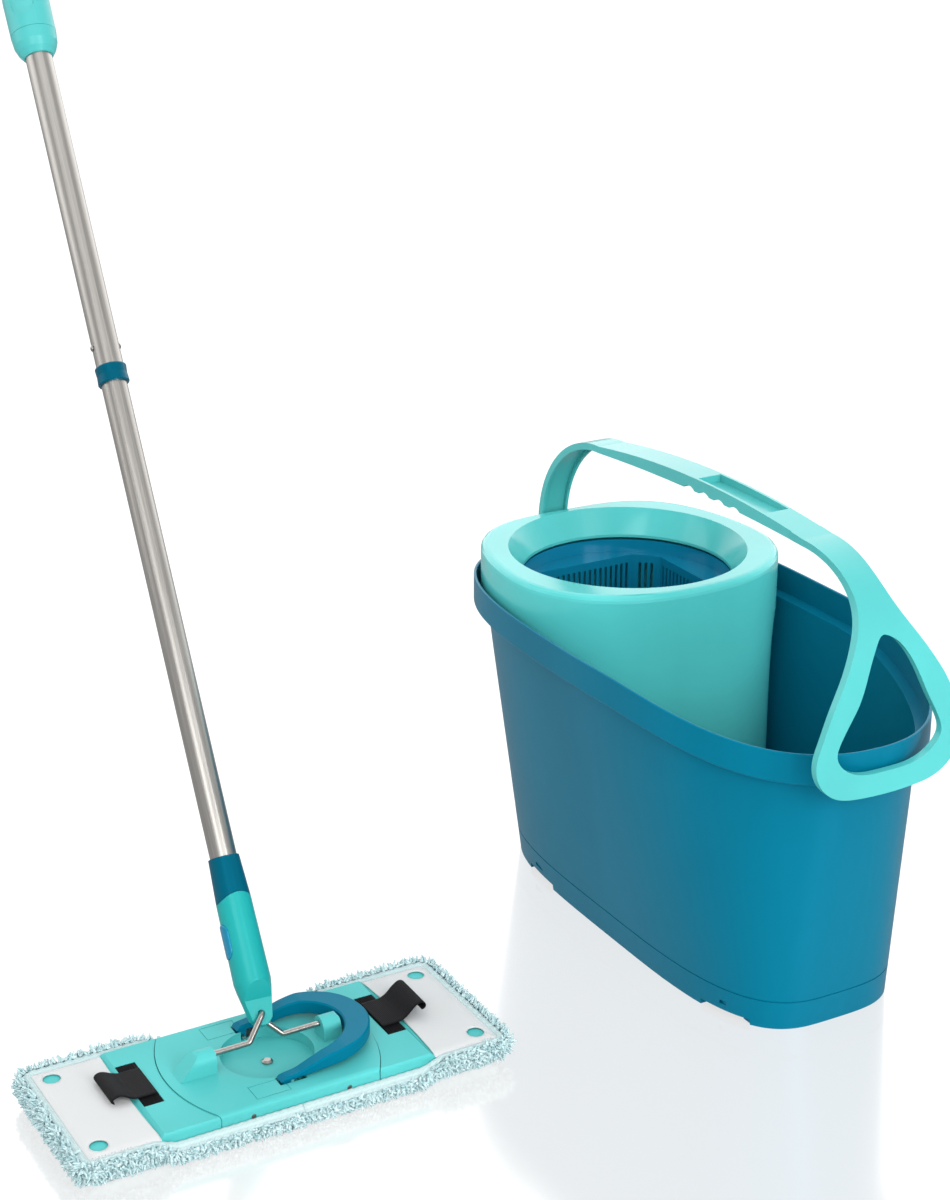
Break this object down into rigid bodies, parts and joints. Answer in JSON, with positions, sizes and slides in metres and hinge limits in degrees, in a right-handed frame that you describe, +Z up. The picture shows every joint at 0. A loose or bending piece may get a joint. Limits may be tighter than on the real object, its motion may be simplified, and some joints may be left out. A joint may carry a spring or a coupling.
{
  "type": "spin mop",
  "caption": "Oval bucket with a raised spinner basket and swinging bail, and a flat mop whose plate folds down on a tilting, telescoping twist-drive pole.",
  "frame": {"origin": "on the floor under the middle of the bucket", "axes": "+X along the bucket to its pouring end, +Z up, the mop stands at -Y with its head lengthwise along Y"},
  "size_m": [0.7498, 0.75, 0.822],
  "materials": {
    "bucket_petrol": "satin moulded",
    "bucket_pin": "moulded",
    "spinner_mint": "gloss moulded",
    "handle_mint": "gloss moulded",
    "basket_petrol": "gloss moulded",
    "head_mint": "satin moulded",
    "pedal_petrol": "satin moulded",
    "connector_petrol": "satin moulded",
    "button_petrol": "satin moulded",
    "ring_petrol": "satin moulded",
    "socket_mint": "satin moulded",
    "grip_mint": "satin moulded",
    "grip_inlay": "soft-touch",
    "bush_acetal": "moulded",
    "nut_acetal": "moulded",
    "steel_axle": "turned",
    "steel_clip": "stamped",
    "steel_pin": "drawn",
    "steel_screw": "zinc plated",
    "steel_wire": "drawn",
    "spring_steel": "rolled",
    "spindle_steel": "rolled and twisted",
    "pole_steel": "coated satin",
    "hook_black": "hook strip",
    "strap_black": "woven strap",
    "cover_pile": "microfibre loops",
    "pocket_cloth": "plain cloth"
  },
  "bodies": {
    "bucket_body": {"bucket": "bucket_petrol", "spinner_housing": "spinner_mint", "basket_axle": "steel_axle", "axle_clip": "steel_clip", "handle_pin_pour": "bucket_pin", "handle_pin_spinner": "bucket_pin"},
    "basket_body": {"spin_basket": "basket_petrol", "basket_bushing": "bush_acetal"},
    "handle_body": {"bucket_handle": "handle_mint"},
    "mop_head": {"head_base": "head_mint", "fold_pin_left": "steel_pin", "fold_pin_right": "steel_pin", "recess_screw": "steel_screw", "pedal_pin_back": "steel_pin", "pedal_pin_front": "steel_pin", "cover_center": "cover_pile"},
    "wing_left_body": {"wing_left": "head_mint", "hook_patch_left": "hook_black", "cover_left": "cover_pile", "pocket_left": "pocket_cloth", "pull_tab_left": "strap_black"},
    "wing_right_body": {"wing_right": "head_mint", "hook_patch_right": "hook_black", "cover_right": "cover_pile", "pocket_right": "pocket_cloth", "pull_tab_right": "strap_black"},
    "pedal_body": {"foot_pedal": "pedal_petrol"},
    "yoke_body": {"wire_yoke": "steel_wire"},
    "pole_lower": {"lower_socket": "socket_mint", "tube_connector": "connector_petrol", "lower_tube": "pole_steel", "tube_top_bearing": "bush_acetal", "nut_retainer": "bush_acetal", "button_spring": "spring_steel"},
    "button_body": {"release_button": "button_petrol"},
    "nut_body": {"drive_nut": "nut_acetal"},
    "pole_upper": {"upper_tube": "pole_steel", "tube_rivet_left": "steel_pin", "tube_rivet_right": "steel_pin", "twist_spindle": "spindle_steel", "spindle_hub": "bush_acetal", "grip_collar": "grip_mint", "grip_body": "grip_mint", "grip_inlay": "grip_inlay", "grip_end_cap": "grip_mint"},
    "ring_body": {"lock_ring": "ring_petrol"}
  },
  "joints": [
    {"name": "basket_spin", "type": "hinge", "parent": "bucket_body", "child": "basket_body", "pos_m": [-0.117, 0, 0.08], "axis": [0, 0, 1], "continuous": true},
    {"name": "bucket_handle_swing", "type": "hinge", "parent": "bucket_body", "child": "handle_body", "pos_m": [0, 0, 0.222], "axis": [1, 0, 0], "range_deg": [-108, 108]},
    {"name": "mop_lift", "type": "slide", "parent": "bucket_body", "child": "mop_head", "axis": [0, 0, 1], "range_m": [0, 0.4]},
    {"name": "wing_left_fold", "type": "hinge", "parent": "mop_head", "child": "wing_left_body", "pos_m": [0.069, -0.476, 0.0195], "axis": [1, 0, 0], "range_deg": [0, 82]},
    {"name": "wing_right_fold", "type": "hinge", "parent": "mop_head", "child": "wing_right_body", "pos_m": [0.069, -0.398, 0.0195], "axis": [-1, 0, 0], "range_deg": [0, 82]},
    {"name": "pedal_press", "type": "hinge", "parent": "mop_head", "child": "pedal_body", "pos_m": [0.069, -0.441, 0.0235], "axis": [-1, 0, 0], "range_deg": [0, 2.8], "stiffness_Nm_per_rad": 4},
    {"name": "yoke_tilt", "type": "hinge", "parent": "mop_head", "child": "yoke_body", "pos_m": [0.069, -0.437, 0.04], "axis": [0, 1, 0], "range_deg": [-34, 104]},
    {"name": "pole_swing", "type": "hinge", "parent": "yoke_body", "child": "pole_lower", "pos_m": [0.05783, -0.437, 0.05537], "axis": [0.809, 0, 0.5878], "range_deg": [-35, 35]},
    {"name": "click_button", "type": "slide", "parent": "pole_lower", "child": "button_body", "axis": [0.0277, 0.9989, -0.0381], "range_m": [0, 0.0025], "stiffness_N_per_m": 1500, "deforming": ["button_spring"]},
    {"name": "pump_slide", "type": "slide", "parent": "pole_lower", "child": "pole_upper", "axis": [0.5871, -0.0471, -0.8081], "range_m": [0, 0.24]},
    {"name": "nut_spin", "type": "hinge", "parent": "pole_lower", "child": "nut_body", "pos_m": [-0.29327, -0.40883, 0.53863], "axis": [-0.5871, 0.0471, 0.8081], "range_deg": [0, 720]},
    {"name": "lock_ring_turn", "type": "hinge", "parent": "pole_upper", "child": "ring_body", "pos_m": [-0.24806, -0.41246, 0.4764], "axis": [-0.5871, 0.0471, 0.8081], "range_deg": [0, 60]}
  ],
  "couplings": [
    {"joint": "nut_spin", "follows": "pump_slide", "rad_per_m": 52.36}
  ]
}
